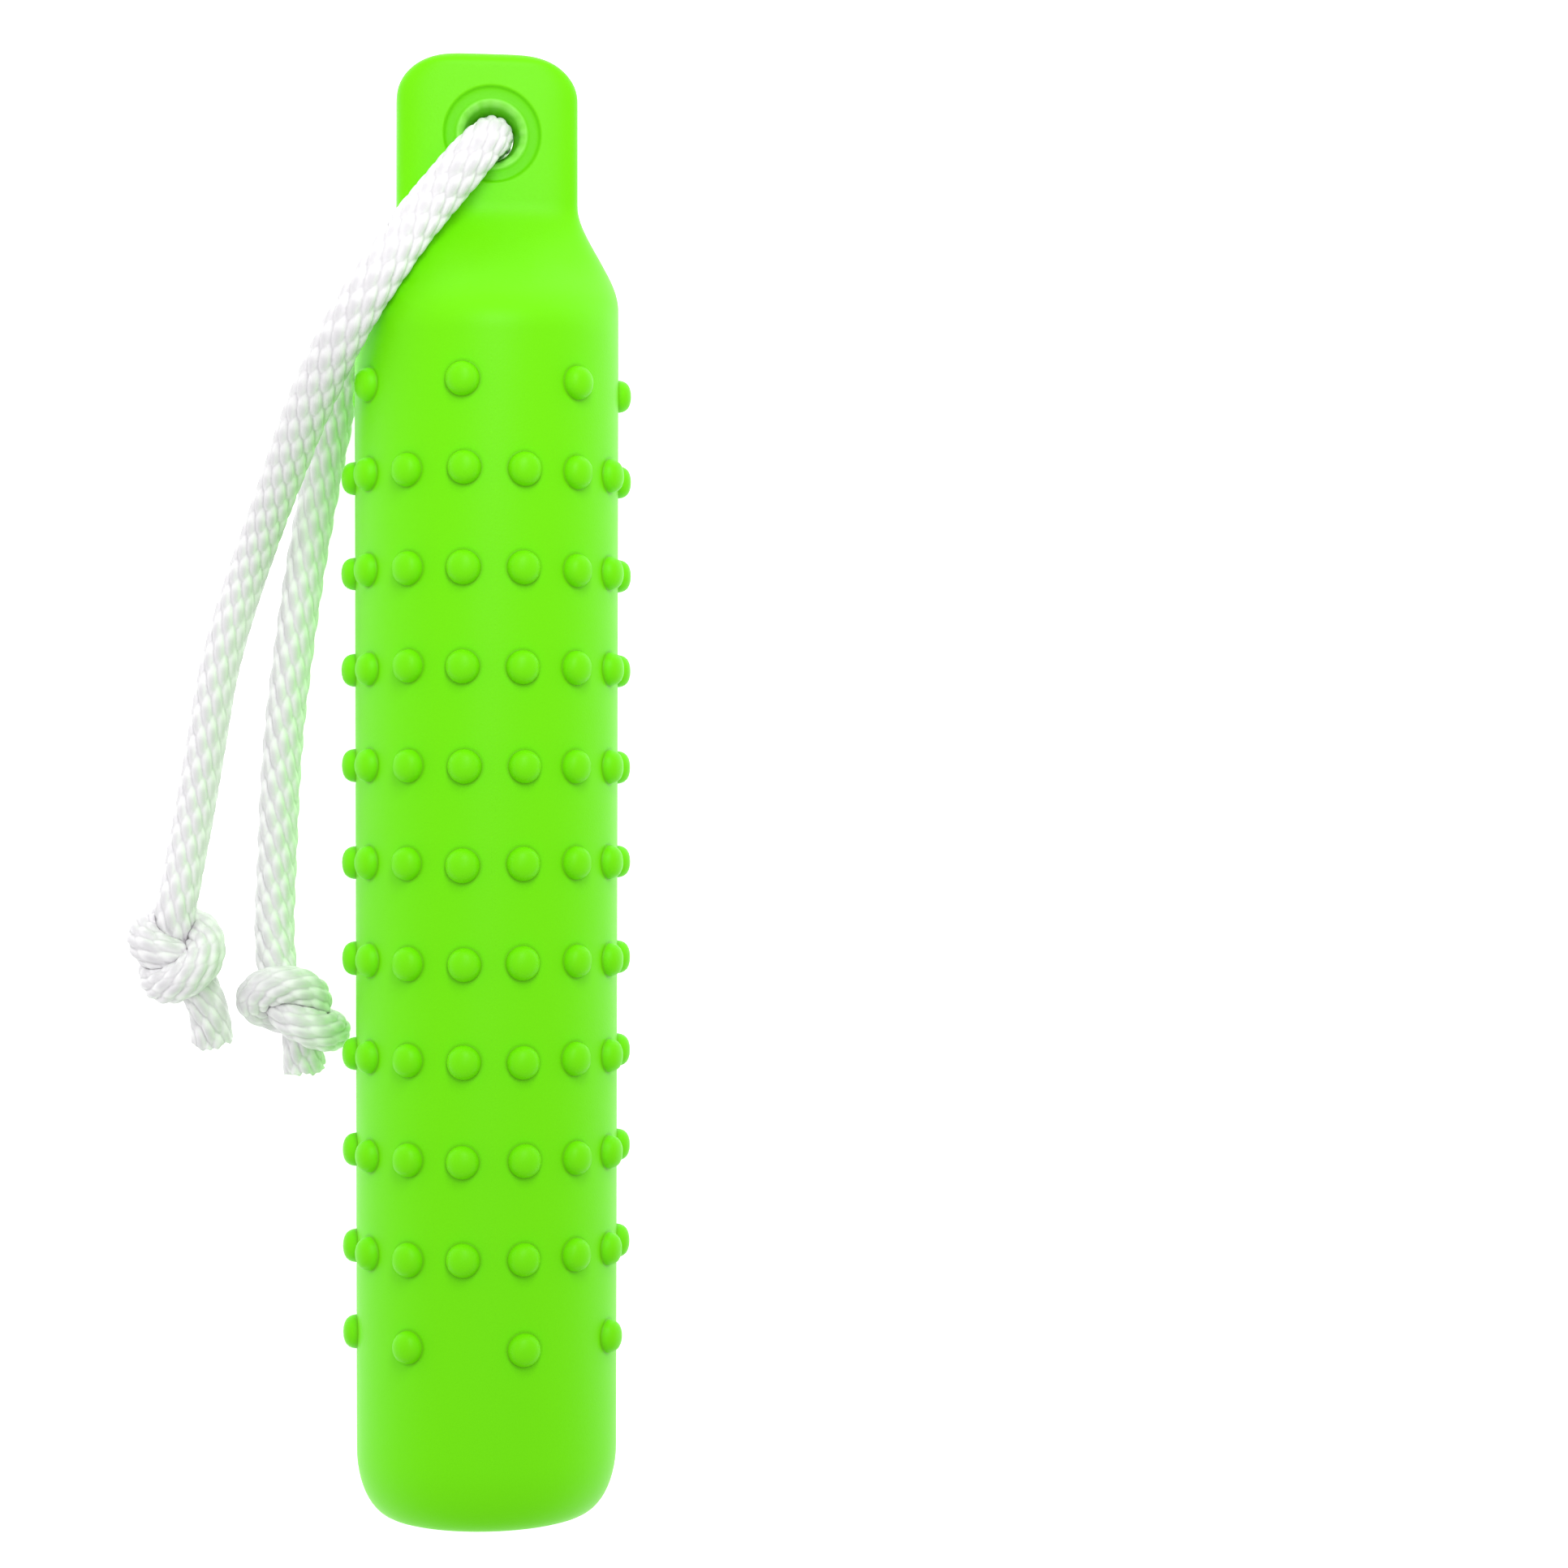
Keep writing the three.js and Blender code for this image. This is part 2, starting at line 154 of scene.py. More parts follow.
# ---- Cord geometry -------------------------------------------------------------------------------
def resampled(points, spacing):
    """The polyline through the points, cut into even steps."""
    points = np.asarray(points, float)
    along = np.r_[0, np.cumsum(np.linalg.norm(np.diff(points, axis=0), axis=1))]
    count = max(2, int(round(along[-1] / spacing)) + 1)
    at = np.linspace(0, along[-1], count)
    return np.stack([np.interp(at, along, points[:, k]) for k in range(3)], axis=1)


def smooth_curve(points, spacing):
    """A centripetal Catmull-Rom curve through the points, in even steps."""
    points = np.asarray(points, float)
    padded = np.vstack([2 * points[0] - points[1], points, 2 * points[-1] - points[-2]])
    knots = np.r_[0, np.cumsum(np.linalg.norm(np.diff(padded, axis=0), axis=1) ** 0.5)]
    curve = []
    for i in range(1, len(padded) - 2):
        t0, t1, t2, t3 = knots[i - 1 : i + 3]
        p0, p1, p2, p3 = padded[i - 1 : i + 3]
        t = np.linspace(t1, t2, 40, endpoint=False)[:, None]
        a1 = (t1 - t) / (t1 - t0) * p0 + (t - t0) / (t1 - t0) * p1
        a2 = (t2 - t) / (t2 - t1) * p1 + (t - t1) / (t2 - t1) * p2
        a3 = (t3 - t) / (t3 - t2) * p2 + (t - t2) / (t3 - t2) * p3
        b1 = (t2 - t) / (t2 - t0) * a1 + (t - t0) / (t2 - t0) * a2
        b2 = (t3 - t) / (t3 - t1) * a2 + (t - t1) / (t3 - t1) * a3
        curve.append((t2 - t) / (t2 - t1) * b1 + (t - t1) / (t2 - t1) * b2)
    curve.append(points[-1:])
    return resampled(np.vstack(curve), spacing)


def eased(path, rounds, keep_start=6):
    """The path with its small kinks smoothed away; its first points and its last one stay put."""
    path = path.copy()
    for _ in range(rounds):
        between = 0.5 * (path[keep_start - 1 : -2] + path[keep_start + 1 :])
        path[keep_start:-1] += 0.5 * (between - path[keep_start:-1])
    return path


def tied_overhand(diameter, squeeze=0.68, rounds=2600):
    """The centreline of an overhand knot, pulled tight by its two ends along x until it touches itself.

    Also the numbers of the points in its lump. squeeze is how near two strands come, in diameters.
    """
    step = diameter / 5
    pull = 0.024 * diameter
    t = np.linspace(-2.12, 2.12, 4000)
    loose = np.stack([t**3 - 3 * t, t**4 - 4 * t**2, -(t**5 - 10 * t) / 4], axis=1)
    line = resampled(loose * 0.55 * diameter, step)
    count = len(line)
    order = np.arange(count)
    apart = np.triu(np.abs(order[:, None] - order[None, :]) * step > 1.9 * diameter, 1)
    first, second = np.where(apart)
    contact = diameter * squeeze
    outward = np.sign(line[0, 0] - line[-1, 0])
    for k in range(rounds):
        if k < 0.8 * rounds:
            line[0, 0] += outward * pull
            line[-1, 0] -= outward * pull
        line[[0, -1], 1:] *= 0.97
        line[1:-1] += 0.12 * (0.5 * (line[:-2] + line[2:]) - line[1:-1])
        for _ in range(3):
            for parity in (0, 1):
                i = np.arange(parity, count - 1, 2)
                link = line[i + 1] - line[i]
                length = np.linalg.norm(link, axis=1, keepdims=True)
                shift = 0.5 * (length - step) / length * link
                line[i] += shift
                line[i + 1] -= shift
            gap = line[second] - line[first]
            distance = np.linalg.norm(gap, axis=1)
            near = distance < contact
            push = gap[near] * ((contact - distance[near]) / distance[near] * 0.25)[:, None]
            moved = np.zeros_like(line)
            touches = np.zeros(count)
            np.add.at(moved, first[near], -push)
            np.add.at(moved, second[near], push)
            np.add.at(touches, first[near], 1)
            np.add.at(touches, second[near], 1)
            line += moved / np.maximum(1, touches / 2)[:, None]
    if outward > 0:
        line = line[::-1]
    beside = np.linalg.norm(line[:, None] - line[None], axis=2) < 1.1 * diameter
    lump = np.where((beside & (apart | apart.T)).any(1))[0]
    return line - line[lump[0] : lump[-1] + 1].mean(0), lump


def knotted_path(run, knot, overhand, lump):
    """The centreline of one cord: its run, the overhand knot at its end, and the tail."""
    roll, turn = math.radians(knot["roll"]), math.radians(knot["turn"])
    x, y, z = overhand.T
    across = y * math.cos(roll) - z * math.sin(roll)
    height = y * math.sin(roll) + z * math.cos(roll)
    local = np.stack([knot["across"] * across, -knot["along"] * x, height], axis=1)
    turned = np.stack(
        [
            local[:, 0] * math.cos(turn) - local[:, 1] * math.sin(turn),
            local[:, 0] * math.sin(turn) + local[:, 1] * math.cos(turn),
            local[:, 2],
        ],
        axis=1,
    )
    placed = turned + np.array(knot["centre"])
    low = placed[lump[0] - 1 : lump[-1] + 2, 2].min()
    placed[:, 2] += max(0.0, ROPE_RADIUS + 0.1 - low)
    tied = placed[lump[0] + 2 : lump[-1] - 2]
    points = np.vstack([run, tied, knot["tail"]])
    path = eased(smooth_curve(points, PATH_SPACING), 60)
    path[6:, 2] = np.maximum(path[6:, 2], ROPE_RADIUS + 0.15)
    return resampled(path, PATH_SPACING)


# ---- Solid braid ---------------------------------------------------------------------------------
STITCH_COLUMNS = 12
STITCH_PITCH = 6.4  # along the rope, between stitches of one column
STITCH_SHIFT = STITCH_PITCH / 3  # from one column to the next
STITCH_LEAN = math.radians(15)
STITCH_HALF_WIDTH = 1.22
STITCH_HALF_LENGTH = 3.45
STITCH_RISE = 0.68
SHADE_AHEAD = 0.9  # painted shade: the darker oval on a stitch sits this far along it
SHADE_HALF_LENGTH = 1.75
SHADE_HALF_WIDTH = 0.82
GLINT_AHEAD = -2.0  # painted highlight: the bright slanting streak that crosses between two stitches
GLINT_HALF_LENGTH = 1.35
GLINT_HALF_WIDTH = 0.42
ROPE_CORE = ROPE_RADIUS - 0.60
BEND_PACKING = 4.0  # how much closer the stitches sit where the rope turns tightly, times its curvature
TAIL_FLARE = 0.07  # how much the cut end opens, as a share, over its last TAIL_FLARE_LENGTH
TAIL_FLARE_LENGTH = 5.0
TAIL_RAGGED_LENGTH = 4.0


def braid(along, angle):
    """Solid-braid surface: its radius, and numbers that place a point on the stitch that is on top there."""
    shape = np.broadcast(along, angle).shape
    best = np.full(shape, -1e9)
    across_top, along_top, stitch_id = np.zeros(shape), np.zeros(shape), np.zeros(shape)
    shade, glint = np.zeros(shape), np.zeros(shape)
    column_step = 2 * math.pi / STITCH_COLUMNS
    column_near = np.round(angle / column_step)
    for dc in (-1, 0, 1):
        column = column_near + dc
        a = ROPE_RADIUS * (angle - column * column_step)
        phase = along + column * STITCH_SHIFT
        nearest = np.round(phase / STITCH_PITCH)
        for dn in (-1, 0, 1):
            ds = phase - (nearest + dn) * STITCH_PITCH
            length = ds * math.cos(STITCH_LEAN) + a * math.sin(STITCH_LEAN)
            width = a * math.cos(STITCH_LEAN) - ds * math.sin(STITCH_LEAN)
            lift = 1 - np.abs(width / STITCH_HALF_WIDTH) ** 2.3 - np.abs(length / STITCH_HALF_LENGTH) ** 2.3
            top = lift > best
            best = np.where(top, lift, best)
            across_top = np.where(top, width, across_top)
            along_top = np.where(top, length, along_top)
            row = nearest + dn - np.floor(column / STITCH_COLUMNS) * 4
            stitch_id = np.where(top, np.mod(column, STITCH_COLUMNS) * 0.37 + row * 1.13, stitch_id)
            # painted shade: a darker oval on each stitch, past its middle
            ahead = np.abs((length - SHADE_AHEAD) / SHADE_HALF_LENGTH)
            shade = np.maximum(shade, np.exp(-(ahead**3.5) - np.abs(width / SHADE_HALF_WIDTH) ** 3.5))
            # painted highlight: a bright slanting streak between stitches
            slant, off = (ds - GLINT_AHEAD + a) * 0.7071, (a - ds + GLINT_AHEAD) * 0.7071
            glint_falloff = np.abs(slant / GLINT_HALF_LENGTH) ** 2.4 + np.abs(off / GLINT_HALF_WIDTH) ** 2
            glint = np.maximum(glint, np.exp(-glint_falloff))
    crest = np.clip(best, 0, 1)
    return ROPE_CORE + STITCH_RISE * crest**0.7, across_top, along_top, stitch_id, crest, shade, glint


def transported_frames(path, start_normal):
    """Tangent, normal and binormal at each point, without twist."""
    tangent = np.gradient(path, axis=0)
    tangent /= np.linalg.norm(tangent, axis=1, keepdims=True)
    normal = np.zeros_like(path)
    n = np.asarray(start_normal, float)
    for i, t in enumerate(tangent):
        n = n - t * n.dot(t)
        n /= np.linalg.norm(n)
        normal[i] = n
    return tangent, normal, np.cross(normal, tangent)


def pressed_apart(vertices, ring_of, path):
    """Where two stretches of a cord touch in a knot, both flatten against the plane midway between them."""
    stride = 4
    same_strand = 1.6 * ROPE_DIAMETER  # nearer than this along the rope isn't another stretch
    clearance = 0.04
    centres = path[::stride]
    centre_at = np.arange(0, len(path), stride) * PATH_SPACING
    own_at = ring_of * PATH_SPACING
    pressed = vertices.copy()
    for chunk in np.array_split(np.arange(len(vertices)), max(1, len(vertices) // 4000)):
        gap = np.linalg.norm(vertices[chunk, None] - centres[None], axis=2)
        gap[np.abs(own_at[chunk, None] - centre_at[None]) < same_strand] = 1e9
        other = gap.argmin(1)
        close = gap[np.arange(len(chunk)), other] < ROPE_DIAMETER
        rows = chunk[close]
        own, foreign = path[ring_of[rows]], centres[other[close]]
        link = foreign - own
        length = np.linalg.norm(link, axis=1, keepdims=True)
        link /= length
        over = ((vertices[rows] - own) * link).sum(1, keepdims=True) - (length / 2 - clearance)
        pressed[rows] -= np.maximum(0, over) * link
    return pressed


def braided_cord(name, path, start_normal, flattened=None):
    """One half of the rope as a closed tube: solid-braid stitches, flat at the eye, cut at the tail.

    It spreads sideways over the stretch named by flattened, its two distances along the rope.
    """
    sides = CORD_SIDES
    tangent, normal, binormal = transported_frames(path, start_normal)
    rings = len(path)
    along = np.arange(rings)[:, None] * PATH_SPACING
    angle = np.arange(sides)[None, :] * 2 * math.pi / sides
    curvature = np.linalg.norm(np.gradient(tangent, axis=0), axis=1) / PATH_SPACING
    curvature = np.convolve(np.minimum(curvature, 0.2), np.full(25, 1 / 25), "same")
    braided = np.cumsum(PATH_SPACING * (1 + BEND_PACKING * curvature))[:, None]
    radius, width, length, key, crest, shade, glint = braid(braided + 0 * angle, angle + 0 * along)
    end_distance = (rings - 1) * PATH_SPACING - along
    radius = radius * (1 + TAIL_FLARE * np.clip(1 - end_distance / TAIL_FLARE_LENGTH, 0, 1) ** 2)
    spin = np.cos(angle)[..., None] * normal[:, None] + np.sin(angle)[..., None] * binormal[:, None]
    offset = radius[..., None] * spin
    if flattened:
        start, end = flattened
        share = smoothstep(along, start, start + 12) * (1 - smoothstep(along, end - 40, end))
        sideways = np.cross(tangent, (0.0, 0.0, 1.0))
        sideways /= np.maximum(np.linalg.norm(sideways, axis=1, keepdims=True), 1e-6)
        reach = (offset * sideways[:, None]).sum(2) * share
        offset += FLATTENED_SPREAD * reach[..., None] * sideways[:, None]
    vertices = path[:, None] + offset
    ragged = 0.9 * np.sin(3 * angle + 1) + 0.5 * np.sin(7 * angle) + 0.35 * np.sin(17 * angle)
    near_end = np.clip(1 - end_distance / TAIL_RAGGED_LENGTH, 0, 1)
    vertices += (near_end * ragged)[..., None] * tangent[:, None] * 0.5
    vertices = vertices.reshape(-1, 3)
    ring_of = np.repeat(np.arange(rings), sides)
    vertices = pressed_apart(vertices, ring_of, path)
    vertices[:, 2] = np.maximum(vertices[:, 2], 0.05)

    numbers = {
        "width": width.ravel(),
        "length": length.ravel(),
        "key": key.ravel(),
        "crest": crest.ravel(),
        "shade": shade.ravel(),
        "glint": glint.ravel(),
        "cut": np.zeros(rings * sides),
    }
    start = np.arange(rings - 1)[:, None] * sides
    side = np.arange(sides)[None, :]
    nxt = (side + 1) % sides
    upper = start + sides
    faces = np.stack([upper + side, upper + nxt, start + nxt, start + side], axis=-1).reshape(-1, 4).tolist()

    # End caps: rings that shrink to a point, the tail's one domed and uneven where the yarns were cut.
    def cap(ring, bulge, flip, is_cut):
        nonlocal vertices
        centre = vertices[ring * sides : (ring + 1) * sides].mean(0)
        rim = vertices[ring * sides : (ring + 1) * sides]
        previous = ring * sides + np.arange(sides)
        on_cap = {"cut": is_cut, "width": 0.0, "length": None, "crest": 0.75, "shade": 0.0, "glint": 0.0}
        for share in (0.85, 0.65, 0.45, 0.25):
            base = len(vertices)
            lumps = bulge * (1 - share**2) + (0.35 * is_cut) * np.sin(9 * angle[0] + 11 * share)
            row = centre + (rim - centre) * share + lumps[:, None] * tangent[ring]
            vertices = np.vstack([vertices, row])
            for column in numbers:
                old = numbers[column]
                extra = old[ring * sides : (ring + 1) * sides]
                if column in on_cap:
                    extra = np.full(sides, share * 3 if column == "length" else on_cap[column])
                numbers[column] = np.r_[old, extra]
            current = base + np.arange(sides)
            quad = np.stack([previous, current, np.roll(current, -1), np.roll(previous, -1)], axis=1)
            faces.extend((quad[:, ::-1] if flip else quad).tolist())
            previous = current
        tip = len(vertices)
        vertices = np.vstack([vertices, centre + bulge * tangent[ring]])
        for column in numbers:
            numbers[column] = np.r_[numbers[column], numbers[column][-1]]
        triangles = np.stack([previous, np.full(sides, tip), np.roll(previous, -1)], axis=1)
        faces.extend((triangles[:, ::-1] if flip else triangles).tolist())

    cap(0, 0.0, True, 0.0)
    cap(rings - 1, 0.4, False, 1.0)
    return new_mesh(name, vertices, faces, numbers)


# ---- Materials -----------------------------------------------------------------------------------
def new_material(name):
    material = bpy.data.materials.new(name)
    material.use_nodes = True
    nodes, links = material.node_tree.nodes, material.node_tree.links
    return material, nodes, links, nodes["Principled BSDF"]


def attribute_node(nodes, name):
    node = nodes.new("ShaderNodeAttribute")
    node.attribute_name = name
    return node


def noise_node(nodes, links, vector, scale, detail=2.0, roughness=0.5):
    node = nodes.new("ShaderNodeTexNoise")
    node.inputs["Scale"].default_value = scale
    node.inputs["Detail"].default_value = detail
    node.inputs["Roughness"].default_value = roughness
    if vector is not None:
        links.new(vector, node.inputs["Vector"])
    return node


def math_node(nodes, links, operation, a, b=None, clamp=False):
    node = nodes.new("ShaderNodeMath")
    node.operation = operation
    node.use_clamp = clamp
    for socket, value in zip(node.inputs, (a, b)):
        if value is None:
            continue
        if isinstance(value, (int, float)):
            socket.default_value = value
        else:
            links.new(value, socket)
    return node.outputs[0]


def mix_colour(nodes, links, share, a, b, blend="MIX"):
    node = nodes.new("ShaderNodeMix")
    node.data_type = "RGBA"
    node.blend_type = blend
    if isinstance(share, (int, float)):
        node.inputs[0].default_value = share
    else:
        links.new(share, node.inputs[0])
    for socket, value in ((node.inputs[6], a), (node.inputs[7], b)):
        if isinstance(value, tuple):
            socket.default_value = (*value, 1.0)
        else:
            links.new(value, socket)
    return node.outputs[2]


def object_coordinates(nodes):
    return nodes.new("ShaderNodeTexCoord").outputs["Object"]


def rope_material():
    """Glossy white multifilament yarn: filaments along each stitch, painted shade on each stitch and in the
    grooves between stitches, and a painted highlight streak between stitches.

    The white leans a trace away from green, which the body beside it throws onto the rope.
    """
    material, nodes, links, shader = new_material("rope_fibre")
    width, length = attribute_node(nodes, "width"), attribute_node(nodes, "length")
    key, crest = attribute_node(nodes, "key"), attribute_node(nodes, "crest")
    shade, glint, cut = (attribute_node(nodes, n).outputs["Fac"] for n in ("shade", "glint", "cut"))
    vector = nodes.new("ShaderNodeCombineXYZ")
    links.new(width.outputs["Fac"], vector.inputs[0])
    links.new(math_node(nodes, links, "MULTIPLY", length.outputs["Fac"], 0.09), vector.inputs[1])
    links.new(key.outputs["Fac"], vector.inputs[2])
    filaments = noise_node(nodes, links, vector.outputs[0], 7.0, 3.0, 0.65).outputs["Fac"]
    mottled = noise_node(nodes, links, object_coordinates(nodes), 170.0, 2.0).outputs["Fac"]

    # painted shade: darker in the grooves between stitches, where the crest is low
    grey = mix_colour(nodes, links, crest.outputs["Fac"], (0.90, 0.885, 0.91), (0.955, 0.94, 0.96))
    between_filaments = math_node(nodes, links, "SUBTRACT", 0.62, filaments, True)
    # painted shade on the stitches, filament streaks, mottling, painted highlight streaks and the cut end's
    # tone
    for share, strength, colour in (
        (shade, 0.9, (0.72, 0.705, 0.73)),
        (between_filaments, 0.5, (0.72, 0.725, 0.73)),
        (glint, 0.85, (0.985, 0.985, 0.985)),
        (mottled, 0.10, (0.88, 0.88, 0.885)),
        (cut, 0.35, (0.80, 0.80, 0.79)),
    ):
        grey = mix_colour(nodes, links, math_node(nodes, links, "MULTIPLY", share, strength), grey, colour)
    links.new(grey, shader.inputs["Base Color"])
    shader.inputs["Roughness"].default_value = 0.42
    shader.inputs["Subsurface Weight"].default_value = 0.4
    shader.inputs["Subsurface Radius"].default_value = (1.0, 1.0, 1.0)
    shader.inputs["Subsurface Scale"].default_value = 0.0008
    shader.inputs["Sheen Weight"].default_value = 0.25
    shader.inputs["Sheen Roughness"].default_value = 0.35
    shader.inputs["Specular IOR Level"].default_value = 0.6
    bump = nodes.new("ShaderNodeBump")
    bump.inputs["Strength"].default_value = 0.55
    bump.inputs["Distance"].default_value = 0.00025
    links.new(filaments, bump.inputs["Height"])
    links.new(bump.outputs[0], shader.inputs["Normal"])
    return material


def vinyl_material():
    """Satin lime vinyl with its mould's fine grain, painted shade round each nub's foot, in the eye's dish
    and wall and in the valve's seat, and a painted highlight on the eye's ragged lip.
    """
    material, nodes, links, shader = new_material("body_vinyl")
    where = object_coordinates(nodes)
    grain = noise_node(nodes, links, where, 2600.0, 3.0, 0.6).outputs["Fac"]
    cloudy = noise_node(nodes, links, where, 45.0, 3.0).outputs["Fac"]
    contact, dish, flash = (attribute_node(nodes, n).outputs["Fac"] for n in ("contact", "dish", "flash"))

    base = (0.168, 0.78, 0.001)
    for share, strength, colour in (
        (cloudy, 0.5, (0.155, 0.745, 0.001)),
        (grain, 0.20, (0.21, 0.82, 0.006)),
        # painted shade round each nub's foot
        (contact, 0.75, (0.130, 0.50, 0.002)),
        # painted shade in the eye's dish and wall and in the valve's recess and bore
        (dish, 0.8, (0.120, 0.64, 0.001)),
        # painted highlight on the eye's ragged lip
        (flash, 0.8, (0.33, 0.85, 0.15)),
    ):
        base = mix_colour(nodes, links, math_node(nodes, links, "MULTIPLY", share, strength), base, colour)
    links.new(base, shader.inputs["Base Color"])
    rough = nodes.new("ShaderNodeMapRange")
    rough.inputs["To Min"].default_value = 0.33
    rough.inputs["To Max"].default_value = 0.47
    links.new(cloudy, rough.inputs["Value"])
    links.new(rough.outputs[0], shader.inputs["Roughness"])
    shader.inputs["Specular IOR Level"].default_value = 0.13
    fine = nodes.new("ShaderNodeBump")
    fine.inputs["Strength"].default_value = 0.28
    fine.inputs["Distance"].default_value = 0.00012
    links.new(grain, fine.inputs["Height"])
    links.new(fine.outputs[0], shader.inputs["Normal"])
    return material


def rubber_material():
    """Dark matt rubber with moulding grain."""
    material, nodes, links, shader = new_material("valve_rubber")
    where = object_coordinates(nodes)
    grain = noise_node(nodes, links, where, 3200.0, 3.0, 0.6).outputs["Fac"]
    colour = mix_colour(nodes, links, grain, (0.018, 0.020, 0.019), (0.040, 0.043, 0.041))
    links.new(colour, shader.inputs["Base Color"])
    shader.inputs["Roughness"].default_value = 0.62
    bump = nodes.new("ShaderNodeBump")
    bump.inputs["Strength"].default_value = 0.35
    bump.inputs["Distance"].default_value = 0.0001
    links.new(grain, bump.inputs["Height"])
    links.new(bump.outputs[0], shader.inputs["Normal"])
    return material


# ---- Body geometry -------------------------------------------------------------------------------
SIDES = 8 * NUB_COLUMNS  # vertices round the body, eight per nub column: from -X over +Z to +X and back
QUADRANT = SIDES // 4


def smoothstep(x, low, high):
    t = np.clip((x - low) / (high - low), 0, 1)
    return t * t * (3 - 2 * t)


def quarter_ellipse(t):
    return math.sqrt(max(0.0, 1 - t * t))


def barrel_radius(y):
    share = np.clip((y + HALF_LENGTH) / (SHOULDER_BARREL_Y + HALF_LENGTH), 0, 1)
    return BARREL_RADIUS_BASE + share * (BARREL_RADIUS_SHOULDER - BARREL_RADIUS_BASE)


def body_section(y, inset=0.0):
    """Half width, half depth and superellipse exponent of the body's section at y, as in the CAD body."""
    radius = barrel_radius(y) - inset
    to_tab = smoothstep(y, SHOULDER_BARREL_Y, SHOULDER_TAB_Y)
    to_depth = smoothstep(y, SHOULDER_FULL_DEPTH_Y, SHOULDER_TAB_Y)
    half_width = radius + (TAB_HALF_WIDTH - inset - radius) * to_tab
    half_depth = radius + (TAB_HALF_THICKNESS - inset - radius) * to_depth
    into_base = (-(HALF_LENGTH - BASE_CORNER_HEIGHT) - y) / (BASE_CORNER_HEIGHT - inset)
    if into_base > 0:
        half_width -= BASE_CORNER_WIDTH * (1 - quarter_ellipse(into_base))
        half_depth = half_width
    into_corner = (y - (HALF_LENGTH - TAB_CORNER_HEIGHT)) / TAB_CORNER_HEIGHT
    if into_corner > 0:
        half_width -= TAB_CORNER_WIDTH * (1 - quarter_ellipse(into_corner))
    into_edge = (y - (HALF_LENGTH - TAB_EDGE_ROUND)) / TAB_EDGE_ROUND
    if into_edge > 0:
        half_depth -= TAB_EDGE_ROUND * (1 - quarter_ellipse(into_edge))
    return half_width, half_depth, 2 + (TAB_SQUARENESS - 2) * to_tab * to_tab


def section_ring(y, inset=0.0):
    """One ring of vertices of the body at y, evenly spaced along each quarter of the section."""
    a, b, n = body_section(y, inset)
    phi = np.linspace(0, math.pi / 2, 900)
    reach = ((np.cos(phi) / a) ** n + (np.sin(phi) / b) ** n) ** (-1 / n)
    x, z = reach * np.cos(phi), reach * np.sin(phi)
    along = np.r_[0, np.cumsum(np.hypot(np.diff(x), np.diff(z)))]
    at = np.linspace(0, along[-1], QUADRANT + 1)
    qx, qz = np.interp(at, along, x), np.interp(at, along, z)
    xs = np.r_[-qx[:-1], qx[::-1][:-1], qx[:-1], -qx[::-1][:-1]]
    zs = np.r_[qz[:-1], qz[::-1][:-1], -qz[:-1], -qz[::-1][:-1]]
    return np.stack([xs, np.full(SIDES, y), AXIS_HEIGHT + zs], axis=1)


class MeshDraft:
    """Vertices, faces and per-vertex numbers, gathered piece by piece. Faces are listed facing outwards."""

    def __init__(self, numbers):
        self.vertices, self.faces, self.numbers = [], [], {n: [] for n in numbers}
        self.count = 0

    def add(self, rows, **numbers):
        rows = np.asarray(rows, float).reshape(-1, 3)
        self.vertices.append(rows)
        for name, values in self.numbers.items():
            values.append(np.broadcast_to(np.asarray(numbers.get(name, 0.0), float), (len(rows),)))
        ids = self.count + np.arange(len(rows))
        self.count += len(rows)
        return ids

    def band(self, lower, upper, closed=True):
        """Quads between two rows of vertex ids, facing out of the body where upper is nearer the tab."""
        if closed:
            lower, upper = np.r_[lower, lower[:1]], np.r_[upper, upper[:1]]
        self.faces.extend(np.stack([lower[:-1], lower[1:], upper[1:], upper[:-1]], axis=1).tolist())

    def fan(self, ring, tip, facing_base=False):
        """Triangles that close a ring, facing +Y, or -Y with facing_base."""
        for a, b in zip(ring, np.roll(ring, -1)):
            self.faces.append([int(a), int(tip), int(b)] if facing_base else [int(b), int(tip), int(a)])

    def finish(self, name):
        vertices = np.vstack(self.vertices)
        numbers = {k: np.concatenate(v) for k, v in self.numbers.items()}
        used = np.zeros(len(vertices), bool)
        for face in self.faces:
            used[face] = True
        renumber = np.cumsum(used) - 1
        faces = [[int(renumber[v]) for v in face] for face in self.faces]
        return new_mesh(name, vertices[used], faces, {k: v[used] for k, v in numbers.items()})


def boundary_of(block):
    """The ids round the edge of a block of vertex ids, from its first corner and along its columns first."""
    return np.r_[block[0, :-1], block[:-1, -1], block[-1, :0:-1], block[:0:-1, 0]]


NUB_PROFILE = [
    (1.10, -0.02), (1.02, -0.05), (1.0, 0.0), (0.985, 0.42), (0.95, 0.95), (0.875, 1.5), (0.74, 2.02),
    (0.55, 2.38), (0.30, 2.61),
]  # radius as a share of the nub's, and height above the wall; the top is at NUB_TOP
NUB_TOP = 2.7
NUB_FOOT_SHADE = {1.10: 0.35, 1.02: 1.0, 1.0: 1.0, 0.985: 0.25}  # painted shade: the dark line at its foot, by that share
